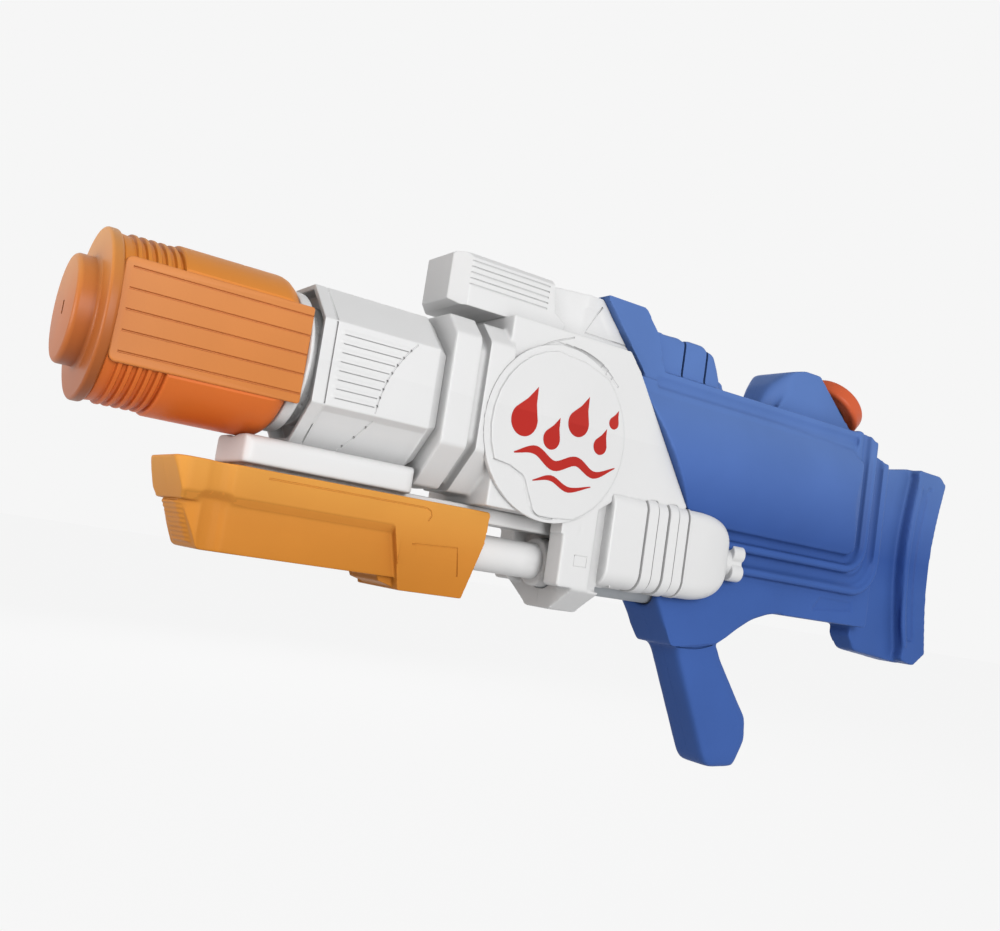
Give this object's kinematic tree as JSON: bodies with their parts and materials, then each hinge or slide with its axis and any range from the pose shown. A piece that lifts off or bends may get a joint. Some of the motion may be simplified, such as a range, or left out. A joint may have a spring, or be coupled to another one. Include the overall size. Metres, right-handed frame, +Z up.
{
  "type": "water squirter",
  "caption": "Large pump-action toy water squirter: thick grooved barrel, sliding foregrip pump under it, rear tank with hinged filler cap, pistol grip and hollowed butt.",
  "frame": {"origin": "centre of the nozzle mouth, on the barrel axis and in the middle plane", "axes": "+X from the nozzle to the butt, +Z up with the squirter held level, +Y to the side away from the pictured one"},
  "size_m": [0.677, 0.086, 0.2902],
  "materials": {
    "orange_abs": "moulded orange ABS, satin",
    "amber_abs": "moulded amber-orange ABS, satin",
    "white_abs": "moulded white ABS, satin",
    "blue_abs": "moulded blue ABS, satin",
    "red_pp": "moulded orange-red polypropylene",
    "clear_pe": "blow-moulded milky polyethylene",
    "grey_acetal": "moulded grey acetal",
    "hose_pvc": "soft extruded hose",
    "seal_rubber": "black nitrile rubber",
    "ball_rubber": "dark rubber valve ball",
    "steel": "zinc-plated steel"
  },
  "bodies": {
    "body": {"nozzle_cap": "orange_abs", "nozzle_tip": "grey_acetal", "barrel_sleeve_left": "orange_abs", "barrel_sleeve_right": "orange_abs", "barrel_panel_left": "orange_abs", "barrel_panel_right": "orange_abs", "barrel_collar": "white_abs", "shroud_left": "white_abs", "shroud_right": "white_abs", "front_shell_left": "white_abs", "front_shell_right": "white_abs", "top_block": "white_abs", "medallion_left": "white_abs", "medallion_right": "white_abs", "slide_rail": "white_abs", "pod_left": "white_abs", "pod_right": "white_abs", "pod_plug_left": "white_abs", "pod_plug_right": "white_abs", "rear_shell_left": "blue_abs", "rear_shell_right": "blue_abs", "water_tank": "clear_pe", "cap_hinge_pin": "steel", "pump_cylinder": "grey_acetal", "pump_gland": "white_abs", "rod_seal": "seal_rubber", "valve_block": "grey_acetal", "delivery_hose": "hose_pvc", "suction_hose": "hose_pvc", "body_screws": "steel"},
    "pump": {"pump_tube": "white_abs", "piston": "grey_acetal", "piston_seal": "seal_rubber", "foregrip_left": "amber_abs", "foregrip_right": "amber_abs", "foregrip_screws": "steel"},
    "cap": {"filler_cap": "red_pp", "cap_gasket": "seal_rubber"},
    "inlet_ball": {"inlet_ball": "ball_rubber"},
    "outlet_ball": {"outlet_ball": "ball_rubber"}
  },
  "joints": [
    {"name": "pump_slide", "type": "slide", "parent": "body", "child": "pump", "axis": [1, 0, 0], "range_m": [-0.06, 0.025]},
    {"name": "cap_hinge", "type": "hinge", "parent": "body", "child": "cap", "pos_m": [0.52393, 0, 0.08427], "axis": [0, -1, 0], "range_deg": [0, 140]},
    {"name": "inlet_lift", "type": "slide", "parent": "body", "child": "inlet_ball", "axis": [-1, 0, 0], "range_m": [0, 0.0015]},
    {"name": "outlet_lift", "type": "slide", "parent": "body", "child": "outlet_ball", "axis": [-1, 0, 0], "range_m": [0, 0.0015]}
  ]
}
